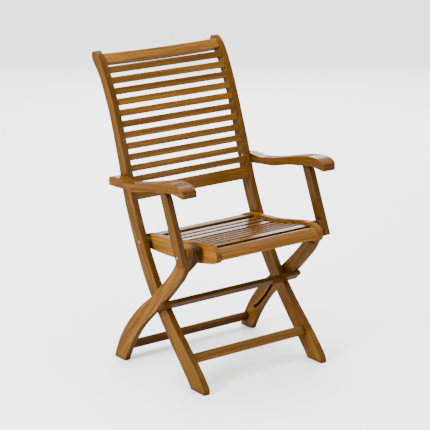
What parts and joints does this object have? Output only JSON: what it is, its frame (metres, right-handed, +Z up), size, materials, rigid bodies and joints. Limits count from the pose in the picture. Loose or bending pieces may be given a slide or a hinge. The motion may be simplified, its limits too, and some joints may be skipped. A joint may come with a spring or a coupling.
{
  "type": "folding slatted wooden armchair",
  "caption": "Folding wooden garden armchair with a slatted reclined back, slatted contoured seat, curved armrests and crossed legs that fold flat.",
  "frame": {"origin": "on the floor under the middle of the open chair: the centre of its bounding box in plan", "axes": "+X to the sitter's left, +Y to the back of the chair, +Z up; the left and right halves are mirror images across X = 0"},
  "size_m": [0.606, 0.6303, 0.998],
  "materials": {
    "wood": "satin oiled hardwood",
    "wood_dark": "satin oiled hardwood, darker boards",
    "steel": "zinc-plated, satin",
    "brass": "threaded inserts, plain"
  },
  "bodies": {
    "frame": {"left_stile": "wood", "right_stile": "wood", "crest_rail": "wood", "lower_back_rail": "wood_dark", "front_stretcher": "wood", "back_slat_01": "wood", "back_slat_02": "wood", "back_slat_03": "wood", "back_slat_04": "wood", "back_slat_05": "wood", "back_slat_06": "wood", "back_slat_07": "wood", "back_slat_08": "wood", "back_slat_09": "wood", "back_slat_10": "wood", "back_slat_11": "wood", "guide_pins": "steel", "arm_pivot_washers": "steel"},
    "seat": {"left_seat_rail": "wood", "right_seat_rail": "wood", "rear_seat_slat": "wood", "front_seat_rail": "wood_dark", "seat_slat_01": "wood", "seat_slat_02": "wood", "seat_slat_03": "wood", "seat_slat_04": "wood", "seat_slat_05": "wood", "seat_slat_06": "wood", "seat_slat_07": "wood", "seat_slat_08": "wood", "seat_pivot_bolts": "steel", "seat_pivot_inserts": "brass", "seat_pivot_bushes": "wood_dark", "front_pivot_bolts": "steel", "front_pivot_inserts": "brass", "front_pivot_bushes": "wood_dark"},
    "rear_legs": {"left_rear_leg": "wood", "right_rear_leg": "wood", "left_leg_block": "wood", "right_leg_block": "wood", "rear_stretcher": "wood_dark", "stop_bar": "wood_dark", "stop_bar_dowels": "wood", "front_pivot_washers": "steel"},
    "left_arm": {"left_armrest": "wood", "left_arm_bolt": "steel", "left_arm_insert": "brass", "left_post_pin": "steel", "left_pin_plug": "wood"},
    "right_arm": {"right_armrest": "wood", "right_arm_bolt": "steel", "right_arm_insert": "brass", "right_post_pin": "steel", "right_pin_plug": "wood"},
    "left_post": {"left_arm_post": "wood"},
    "right_post": {"right_arm_post": "wood"}
  },
  "joints": [
    {"name": "seat_fold", "type": "hinge", "parent": "frame", "child": "seat", "pos_m": [0, 0.052, 0.417], "axis": [-1, 0, 0], "range_deg": [0, 93]},
    {"name": "rear_leg_fold", "type": "hinge", "parent": "seat", "child": "rear_legs", "pos_m": [0, -0.219, 0.44], "axis": [-1, 0, 0], "range_deg": [-36.8, 0]},
    {"name": "left_arm_fold", "type": "hinge", "parent": "frame", "child": "left_arm", "pos_m": [0, 0.135, 0.615], "axis": [-1, 0, 0], "range_deg": [0, 93.3]},
    {"name": "left_post_fold", "type": "hinge", "parent": "left_arm", "child": "left_post", "pos_m": [0, -0.136, 0.638], "axis": [-1, 0, 0], "range_deg": [-93.3, 0]},
    {"name": "right_arm_fold", "type": "hinge", "parent": "frame", "child": "right_arm", "pos_m": [0, 0.135, 0.615], "axis": [-1, 0, 0], "range_deg": [0, 93.3]},
    {"name": "right_post_fold", "type": "hinge", "parent": "right_arm", "child": "right_post", "pos_m": [0, -0.136, 0.638], "axis": [-1, 0, 0], "range_deg": [-93.3, 0]}
  ],
  "couplings": [
    {"joint": "rear_leg_fold", "follows": "seat_fold", "ratio": -0.393},
    {"joint": "left_arm_fold", "follows": "seat_fold", "ratio": 1},
    {"joint": "left_post_fold", "follows": "seat_fold", "ratio": -1},
    {"joint": "right_arm_fold", "follows": "seat_fold", "ratio": 1},
    {"joint": "right_post_fold", "follows": "seat_fold", "ratio": -1}
  ]
}
